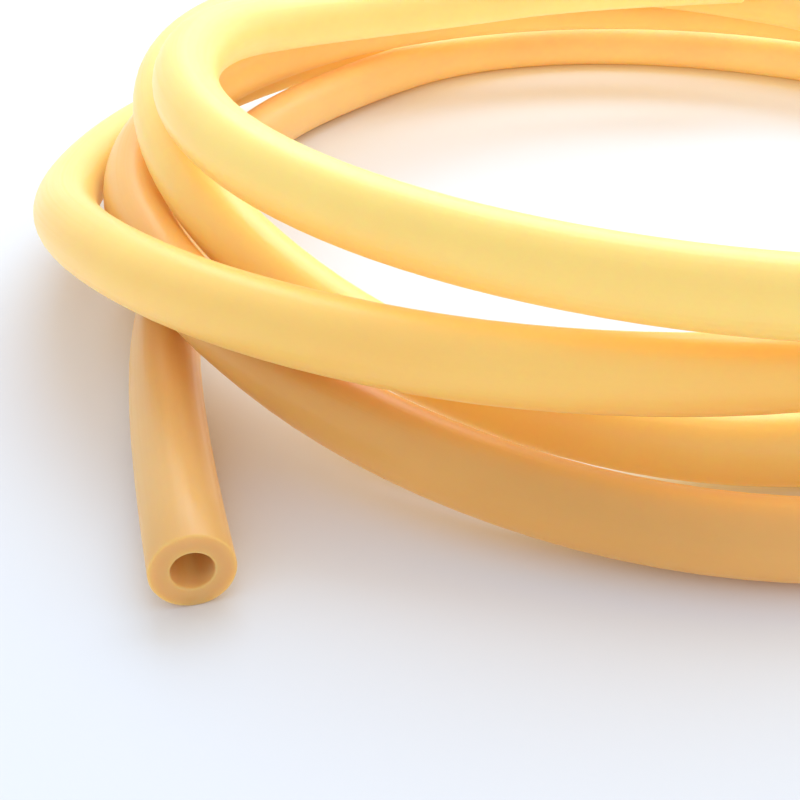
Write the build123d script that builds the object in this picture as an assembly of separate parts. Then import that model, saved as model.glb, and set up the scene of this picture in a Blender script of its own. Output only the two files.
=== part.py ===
from build123d import *

import os
from math import cos, floor, pi, radians, sin, tan

# Rubber tubing coil: one length of soft amber latex tube, coiled loosely by hand and lying on a table.
# Millimetres. X is to the right, Y to the back and Z up. The table is at Z = 0, and the origin is below
# the middle of the coil.

# Tube
outside_diameter = 10.0
bore_diameter = 5.0
rest_height = outside_diameter / 2

# The tube is followed by a counter of turns that runs counter-clockwise, seen from above:
# .00 is the right-hand side, .25 the back, .50 the left-hand side and .75 the front.
first_point_at = 0.22
last_coil_point_at = 4.41
points_per_turn = 16
joining_starts = -0.22
joining_ends = 0.10

# Each turn is an oval of its own: middle across, middle deep, half width, half depth, skew in degrees
turns = [
    (6.0, -17.5, 89.0, 75.5, 14.0),    # the upper turn, which starts at the cut end at the back
    (-3.5, 7.5, 111.5, 89.0, 45.0),    # the widest turn, farthest out on the left
    (-4.0, -5.5, 85.5, 82.5, -8.0),    # beside the upper turn
    (2.0, -11.0, 96.0, 95.0, 14.0),    # lowest and nearest at the front
    (21.0, 4.5, 76.5, 96.5, 43.0),     # on the table, leads to the free end
]

# Height of the middle of the tube, as the counter of turns and a height.
# Between two of them the tube rises or sinks in a long easy slope.
heights = [
    (0.22, 28.5),
    (0.35, 26.5),
    (0.49, 35.5),
    (1.00, 24.0),
    (1.36, 8.5),
    (1.49, 10.5),
    (1.63, 22.5),
    (1.88, 15.5),
    (2.48, 28.5),
    (2.76, rest_height),
    (3.20, 16.0),
    (3.57, 16.0),
    (3.72, rest_height),
]

# The free end leaves the coil on the left and runs along the table to the front
free_end = [
    (-77.0, 34.0),
    (-85.5, 0.0),
    (-85.5, -37.0),
    (-82.0, -75.0),
    (-72.0, -111.5),
]

# Share of each run that its bend takes
bend_share = 0.45


def oval_point(turn, at):
    """Corner of the route on one turn's oval, a little outside it so that the rounded route lies on it."""
    middle_x, middle_y, half_width, half_depth, skew = turn
    angle = 2 * pi * at - radians(skew)
    outside = 1 / cos(pi / points_per_turn)
    along = half_width * outside * cos(angle)
    across = half_depth * outside * sin(angle)
    x = middle_x + along * cos(radians(skew)) - across * sin(radians(skew))
    y = middle_y + along * sin(radians(skew)) + across * cos(radians(skew))
    return x, y


def coil_point(at):
    """On the right-hand side each turn eases into the next one."""
    index = min(floor(at - joining_starts), len(turns) - 1)
    x, y = oval_point(turns[index], at)
    share = (at - index - joining_starts) / (joining_ends - joining_starts)
    if index == 0 or share >= 1:
        return x, y
    last_x, last_y = oval_point(turns[index - 1], at)
    share = share * share * (3 - 2 * share)
    return last_x + (x - last_x) * share, last_y + (y - last_y) * share


def height_at(at):
    for (start, low), (end, high) in zip(heights, heights[1:]):
        if start <= at <= end:
            return low + (high - low) * (1 - cos(pi * (at - start) / (end - start))) / 2
    return heights[-1][1]


def route_points():
    points = []
    at = first_point_at
    while at < last_coil_point_at:
        points.append(Vector(*coil_point(at), height_at(at)))
        at += 1 / points_per_turn
    points += [Vector(x, y, rest_height) for x, y in free_end]
    return points


def bend_radii(points):
    radii = []
    for before, corner, after in zip(points, points[1:], points[2:]):
        first_run = corner - before
        next_run = after - corner
        half_turn = radians(first_run.get_angle(next_run)) / 2
        shorter = min(first_run.length, next_run.length)
        radii.append(bend_share * shorter / tan(half_turn))
    return radii


def tube(route):
    """The wall of the tube, with its bore open right through and both ends cut square."""
    cut_end = Plane(origin=route @ 0, z_dir=route % 0)
    outside = sweep(cut_end * Circle(outside_diameter / 2), path=route)
    bore = sweep(cut_end * Circle(bore_diameter / 2), path=route)
    return outside - bore


points = route_points()
radii = bend_radii(points)
route = FilletPolyline(*points, radius=radii)
rubber_tube = tube(route)
rubber_tube.label = "rubber_tube"

wall_area = pi / 4 * (outside_diameter ** 2 - bore_diameter ** 2)
print("length", round(route.length, 1), "mm, bend radii", [round(radius, 1) for radius in radii])
print("volume", round(rubber_tube.volume, 1), "and wall area times length", round(wall_area * route.length, 1))

os.makedirs("parts", exist_ok=True)
export_step(rubber_tube, "parts/rubber_tube.step")
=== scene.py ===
from math import cos, floor, pi, radians, sin

import bpy
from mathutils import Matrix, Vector


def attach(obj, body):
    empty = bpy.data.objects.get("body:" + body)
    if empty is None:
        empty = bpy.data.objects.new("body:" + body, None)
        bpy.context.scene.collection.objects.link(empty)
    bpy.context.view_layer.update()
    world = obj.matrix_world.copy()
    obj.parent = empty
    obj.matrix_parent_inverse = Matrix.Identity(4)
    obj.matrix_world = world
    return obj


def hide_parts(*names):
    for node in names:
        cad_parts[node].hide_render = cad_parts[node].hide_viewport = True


# Rubber tubing coil: one length of soft amber latex tube, coiled loosely by hand and lying on a table.
# Metres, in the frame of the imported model. The lists that make the route are in millimetres.

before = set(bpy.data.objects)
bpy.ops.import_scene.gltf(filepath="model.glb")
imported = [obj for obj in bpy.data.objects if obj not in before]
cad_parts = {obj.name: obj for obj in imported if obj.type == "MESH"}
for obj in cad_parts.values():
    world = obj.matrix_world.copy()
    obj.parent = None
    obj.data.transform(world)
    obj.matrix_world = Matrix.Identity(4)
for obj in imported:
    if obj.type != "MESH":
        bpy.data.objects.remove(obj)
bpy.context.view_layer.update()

mm = 0.001

# Camera, as the photograph was taken
camera_place = (-49.0 * mm, -216.0 * mm, 93.6 * mm)
camera_down = 32.3
camera_lens = 55.01
camera_near = 5 * mm

# Tube
outside_diameter = 10.0 * mm
bore_diameter = 5.0 * mm
rest_height = outside_diameter / 2
tube_length = 2590 * mm

# Rounding of the cut edges, and how far its middle ring lies from the corner, as a share of it
edge_rounding = 0.25 * mm
rounding_middle = 0.3

# Route, as in the part's source: the tube is followed by a counter of turns that runs counter-clockwise,
# seen from above. .00 is the right-hand side, .25 the back, .50 the left-hand side and .75 the front.
first_point_at = 0.22
last_coil_point_at = 4.41
points_per_turn = 16
joining_starts = -0.22
joining_ends = 0.10

# Each turn is an oval of its own: middle across, middle deep, half width, half depth, skew in degrees
turns = [
    (6.0, -17.5, 89.0, 75.5, 14.0),
    (-3.5, 7.5, 111.5, 89.0, 45.0),
    (-4.0, -5.5, 85.5, 82.5, -8.0),
    (2.0, -11.0, 96.0, 95.0, 14.0),
    (21.0, 4.5, 76.5, 96.5, 43.0),
]

# Height of the middle of the tube, as the counter of turns and a height
heights = [
    (0.22, 28.5),
    (0.35, 26.5),
    (0.49, 35.5),
    (1.00, 24.0),
    (1.36, 8.5),
    (1.49, 10.5),
    (1.63, 22.5),
    (1.88, 15.5),
    (2.48, 28.5),
    (2.76, rest_height / mm),
    (3.20, 16.0),
    (3.57, 16.0),
    (3.72, rest_height / mm),
]

# The free end, which runs along the table to the front
free_end = [
    (-77.0, 34.0),
    (-85.5, 0.0),
    (-85.5, -37.0),
    (-82.0, -75.0),
    (-72.0, -111.5),
]

# Mesh
sides_round = 48
steps_per_point = 8

# Colour of the latex, as the share of the tube's length and the colour there. The amber is the latex's
# own, but its changes from turn to turn are painted light and shade: painted shade makes it brownest at
# the front of the lowest turn and at the free end, and painted light makes it palest at the back, where
# the tube leads to the free end.
amber_tones_with_painted_light_and_shade = [
    (0.00, (1.00, 0.72, 0.26)),
    (0.11, (1.00, 0.72, 0.24)),
    (0.22, (1.00, 0.72, 0.30)),
    (0.30, (0.98, 0.68, 0.24)),
    (0.36, (0.97, 0.60, 0.16)),
    (0.47, (1.00, 0.68, 0.24)),
    (0.57, (1.00, 0.72, 0.24)),
    (0.68, (1.00, 0.68, 0.24)),
    (0.77, (0.67, 0.38, 0.11)),
    (0.82, (0.80, 0.50, 0.20)),
    (0.87, (1.00, 0.80, 0.42)),
    (0.93, (0.96, 0.66, 0.28)),
    (0.96, (0.72, 0.49, 0.23)),
    (1.00, (0.64, 0.40, 0.15)),
]

# Faint clouds in the colour, and faint lines in the skin that run with the tube
noise_range = (0.3, 0.7)
cloud_scale = 30.0
cloud_detail = 3.0
cloud_shade = (0.94, 1.03)
line_scale = 9.0
line_detail = 4.0
line_bump = 0.08
line_depth = 0.3 * mm

# Skin, and how far each of red, green and blue soaks into the wall
skin_roughness = (0.31, 0.43)
skin_specular = 0.3
skin_refraction = 1.5
light_depth = 4 * mm
light_spread = (1.0, 0.6, 0.3)
shadow_tint = (0.80, 0.66, 0.42)

# Floor: what it throws back on the tube, and what the camera sees
floor_half_size = 3.0
floor_colour = (0.92, 0.92, 0.93)
floor_colour_seen = (0.67, 0.72, 0.80)
floor_roughness = 0.6
floor_specular = 0.2

# Sockets of the mix node when it mixes vectors
mix_share_input = 0
mix_first_input = 4
mix_second_input = 5
mix_output = 1

# Light
sky_colour = (0.96, 0.98, 1.0)
sky_strength = 0.95
lamp_power = 3.0
lamp_place = Vector((50 * mm, 330 * mm, 420 * mm))
lamp_width = 600 * mm
lamp_depth = 400 * mm


def oval_point(turn, at):
    """Corner of the route on one turn's oval, a little outside it so that the rounded route lies on it."""
    middle_x, middle_y, half_width, half_depth, skew = turn
    angle = 2 * pi * at - radians(skew)
    outside = 1 / cos(pi / points_per_turn)
    along = half_width * outside * cos(angle)
    across = half_depth * outside * sin(angle)
    x = middle_x + along * cos(radians(skew)) - across * sin(radians(skew))
    y = middle_y + along * sin(radians(skew)) + across * cos(radians(skew))
    return x, y


def coil_point(at):
    """On the right-hand side each turn eases into the next one."""
    index = min(floor(at - joining_starts), len(turns) - 1)
    x, y = oval_point(turns[index], at)
    share = (at - index - joining_starts) / (joining_ends - joining_starts)
    if index == 0 or share >= 1:
        return x, y
    last_x, last_y = oval_point(turns[index - 1], at)
    share = share * share * (3 - 2 * share)
    return last_x + (x - last_x) * share, last_y + (y - last_y) * share


def height_at(at):
    for (start, low), (end, high) in zip(heights, heights[1:]):
        if start <= at <= end:
            return low + (high - low) * (1 - cos(pi * (at - start) / (end - start))) / 2
    return heights[-1][1]


def route_points():
    points = []
    at = first_point_at
    while at < last_coil_point_at:
        points.append(Vector((*coil_point(at), height_at(at))) * mm)
        at += 1 / points_per_turn
    points += [Vector((x * mm, y * mm, rest_height)) for x, y in free_end]
    return points


def spline_line(points):
    """Points along one smooth open spline that has the route's points as its control points."""
    curve = bpy.data.curves.new("route", "CURVE")
    curve.dimensions = "3D"
    curve.resolution_u = steps_per_point
    spline = curve.splines.new("NURBS")
    spline.points.add(len(points) - 1)
    for place, point in zip(spline.points, points):
        place.co = (*point, 1)
    spline.order_u = 3
    spline.use_endpoint_u = True
    holder = bpy.data.objects.new("route", curve)
    bpy.context.scene.collection.objects.link(holder)
    mesh = bpy.data.meshes.new_from_object(holder)
    line = [vertex.co.copy() for vertex in mesh.vertices]
    bpy.data.objects.remove(holder)
    bpy.data.curves.remove(curve)
    bpy.data.meshes.remove(mesh)
    return line


def axes_along(line):
    """Place, direction and two sideways axes at each point, carried along without twist."""
    directions = []
    for index in range(len(line)):
        before = line[max(index - 1, 0)]
        after = line[min(index + 1, len(line) - 1)]
        directions.append((after - before).normalized())
    sideways = Vector((0, 0, 1)).cross(directions[0]).normalized()
    all_axes = []
    for place, direction in zip(line, directions):
        sideways = (sideways - direction * sideways.dot(direction)).normalized()
        all_axes.append((place, direction, sideways, direction.cross(sideways)))
    return all_axes


def distances_along(line):
    distances = [0.0]
    for before, after in zip(line, line[1:]):
        distances.append(distances[-1] + (after - before).length)
    return distances


def cut_face():
    """Rings of a cut end from the outside to the bore, as the distance behind the cut and the radius."""
    outer = outside_diameter / 2
    inner = bore_diameter / 2
    soft = edge_rounding
    softer = rounding_middle * edge_rounding
    return [
        (soft, outer),
        (softer, outer - softer),
        (0.0, outer - soft),
        (0.0, (outer + inner) / 2),
        (0.0, inner + soft),
        (softer, inner + softer),
        (soft, inner),
    ]


def tube_rings(line):
    """One closed loop of rings: outside, cut end, bore and the other cut end. Each is the axes that it
    lies on, a shift along the tube, a radius and the distance from the tube's start."""
    all_axes = axes_along(line)
    distances = distances_along(line)
    middle = list(zip(all_axes, distances))[1:-1]
    rings = [(axes, 0.0, outside_diameter / 2, run) for axes, run in middle]
    rings += [(all_axes[-1], -back, radius, distances[-1] - back) for back, radius in cut_face()]
    rings += [(axes, 0.0, bore_diameter / 2, run) for axes, run in reversed(middle)]
    rings += [(all_axes[0], back, radius, back) for back, radius in reversed(cut_face())]
    return rings


def ring_points(rings):
    """Points of the rings, and for the material where each lies round the tube and along it."""
    points = []
    lay = []
    for (place, direction, sideways, upward), shift, radius, run in rings:
        for side in range(sides_round):
            angle = 2 * pi * side / sides_round
            out = sideways * cos(angle) + upward * sin(angle)
            points.append(place + direction * shift + out * radius)
            lay += (cos(angle), sin(angle), run)
    return points, lay


def ring_faces(ring_count):
    """Faces from each ring to the next one, and from the last ring to the first."""
    faces = []
    for ring in range(ring_count):
        here = ring * sides_round
        there = (ring + 1) % ring_count * sides_round
        for side in range(sides_round):
            beside = (side + 1) % sides_round
            faces.append((here + side, here + beside, there + beside, there + side))
    return faces


def tube_mesh(line):
    rings = tube_rings(line)
    points, lay = ring_points(rings)
    mesh = bpy.data.meshes.new("latex_tube")
    mesh.from_pydata(points, [], ring_faces(len(rings)))
    mesh.shade_smooth()
    attribute = mesh.attributes.new("lay", "FLOAT_VECTOR", "POINT")
    attribute.data.foreach_set("vector", lay)
    mesh.validate()
    return mesh


def new_material(name):
    material = bpy.data.materials.new(name)
    material.use_nodes = True
    nodes = material.node_tree.nodes
    return material, nodes, material.node_tree.links, nodes["Principled BSDF"]


def map_range(nodes, links, value, from_range, to_range):
    node = nodes.new("ShaderNodeMapRange")
    node.inputs["From Min"].default_value, node.inputs["From Max"].default_value = from_range
    node.inputs["To Min"].default_value, node.inputs["To Max"].default_value = to_range
    links.new(value, node.inputs["Value"])
    return node.outputs["Result"]


def noise(nodes, links, place, scale, detail):
    node = nodes.new("ShaderNodeTexNoise")
    node.inputs["Scale"].default_value = scale
    node.inputs["Detail"].default_value = detail
    links.new(place, node.inputs["Vector"])
    return node.outputs["Fac"]


def latex_colour_with_painted_light_and_shade(nodes, links, lay):
    """The tube's amber changes along its length as painted light and shade on each turn, with faint clouds
    in it.
    """
    parts = nodes.new("ShaderNodeSeparateXYZ")
    links.new(lay, parts.inputs[0])
    share = map_range(nodes, links, parts.outputs["Z"], (0, tube_length), (0, 1))
    # Ramp of the latex's amber with painted light and shade from turn to turn
    painted_light_and_shade_ramp = nodes.new("ShaderNodeValToRGB")
    while len(painted_light_and_shade_ramp.color_ramp.elements) < len(amber_tones_with_painted_light_and_shade):
        painted_light_and_shade_ramp.color_ramp.elements.new(0.5)
    for element, (at, colour) in zip(painted_light_and_shade_ramp.color_ramp.elements, amber_tones_with_painted_light_and_shade):
        element.position = at
        element.color = (*colour, 1)
    links.new(share, painted_light_and_shade_ramp.inputs["Fac"])
    place = nodes.new("ShaderNodeTexCoord")
    cloud = noise(nodes, links, place.outputs["Object"], cloud_scale, cloud_detail)
    shade = map_range(nodes, links, cloud, noise_range, cloud_shade)
    mixed = nodes.new("ShaderNodeVectorMath")
    mixed.operation = "SCALE"
    links.new(painted_light_and_shade_ramp.outputs["Color"], mixed.inputs[0])
    links.new(shade, mixed.inputs["Scale"])
    return mixed.outputs["Vector"]


def let_light_through(nodes, links, shader):
    """Shadows of the tube are amber, because a good part of the light passes through its walls."""
    path = nodes.new("ShaderNodeLightPath")
    clear = nodes.new("ShaderNodeBsdfTransparent")
    clear.inputs["Color"].default_value = (*shadow_tint, 1)
    mixed = nodes.new("ShaderNodeMixShader")
    links.new(path.outputs["Is Shadow Ray"], mixed.inputs["Fac"])
    links.new(shader.outputs["BSDF"], mixed.inputs[1])
    links.new(clear.outputs["BSDF"], mixed.inputs[2])
    links.new(mixed.outputs["Shader"], nodes["Material Output"].inputs["Surface"])


def latex():
    """Translucent amber latex: light soaks into the wall, and the skin is satin with faint lines."""
    material, nodes, links, shader = new_material("amber_latex")
    shader.inputs["IOR"].default_value = skin_refraction
    shader.inputs["Specular IOR Level"].default_value = skin_specular
    shader.inputs["Subsurface Weight"].default_value = 1.0
    shader.inputs["Subsurface Radius"].default_value = light_spread
    shader.inputs["Subsurface Scale"].default_value = light_depth
    attribute = nodes.new("ShaderNodeAttribute")
    attribute.attribute_name = "lay"
    lay = attribute.outputs["Vector"]
    links.new(latex_colour_with_painted_light_and_shade(nodes, links, lay), shader.inputs["Base Color"])
    lines = noise(nodes, links, lay, line_scale, line_detail)
    gloss = map_range(nodes, links, lines, noise_range, skin_roughness)
    links.new(gloss, shader.inputs["Roughness"])
    bump = nodes.new("ShaderNodeBump")
    bump.inputs["Strength"].default_value = line_bump
    bump.inputs["Distance"].default_value = line_depth
    links.new(lines, bump.inputs["Height"])
    links.new(bump.outputs["Normal"], shader.inputs["Normal"])
    let_light_through(nodes, links, shader)
    return material


def tube():
    line = spline_line(route_points())
    piece = bpy.data.objects.new("latex_tube", tube_mesh(line))
    bpy.context.scene.collection.objects.link(piece)
    piece.data.materials.append(latex())
    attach(piece, "root")
    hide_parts("rubber_tube")


def camera():
    data = bpy.data.cameras.new("camera")
    data.lens = camera_lens
    data.clip_start = camera_near
    piece = bpy.data.objects.new("camera", data)
    piece.location = camera_place
    piece.rotation_euler = (radians(90 - camera_down), 0, 0)
    bpy.context.scene.collection.objects.link(piece)
    bpy.context.scene.camera = piece


def table_top():
    """Throws white light back on the tube, and is a little darker where the camera sees it."""
    material, nodes, links, shader = new_material("white_table")
    path = nodes.new("ShaderNodeLightPath")
    seen = nodes.new("ShaderNodeMix")
    seen.data_type = "VECTOR"
    seen.inputs[mix_first_input].default_value = floor_colour
    seen.inputs[mix_second_input].default_value = floor_colour_seen
    links.new(path.outputs["Is Camera Ray"], seen.inputs[mix_share_input])
    links.new(seen.outputs[mix_output], shader.inputs["Base Color"])
    shader.inputs["Roughness"].default_value = floor_roughness
    shader.inputs["Specular IOR Level"].default_value = floor_specular
    return material


def floor_sheet():
    half = floor_half_size
    corners = [(-half, -half, 0), (half, -half, 0), (half, half, 0), (-half, half, 0)]
    mesh = bpy.data.meshes.new("floor")
    mesh.from_pydata(corners, [], [(0, 1, 2, 3)])
    mesh.materials.append(table_top())
    piece = bpy.data.objects.new("floor", mesh)
    bpy.context.scene.collection.objects.link(piece)


def lights():
    world = bpy.data.worlds.new("studio")
    bpy.context.scene.world = world
    world.use_nodes = True
    sky = world.node_tree.nodes["Background"]
    sky.inputs["Color"].default_value = (*sky_colour, 1)
    sky.inputs["Strength"].default_value = sky_strength
    lamp = bpy.data.lights.new("soft_box", "AREA")
    lamp.shape = "RECTANGLE"
    lamp.size = lamp_width
    lamp.size_y = lamp_depth
    lamp.energy = lamp_power
    piece = bpy.data.objects.new("soft_box", lamp)
    piece.location = lamp_place
    piece.rotation_euler = (-lamp_place).to_track_quat("-Z", "Y").to_euler()
    bpy.context.scene.collection.objects.link(piece)


camera()
tube()
floor_sheet()
lights()
bpy.context.scene.view_settings.view_transform = "Standard"
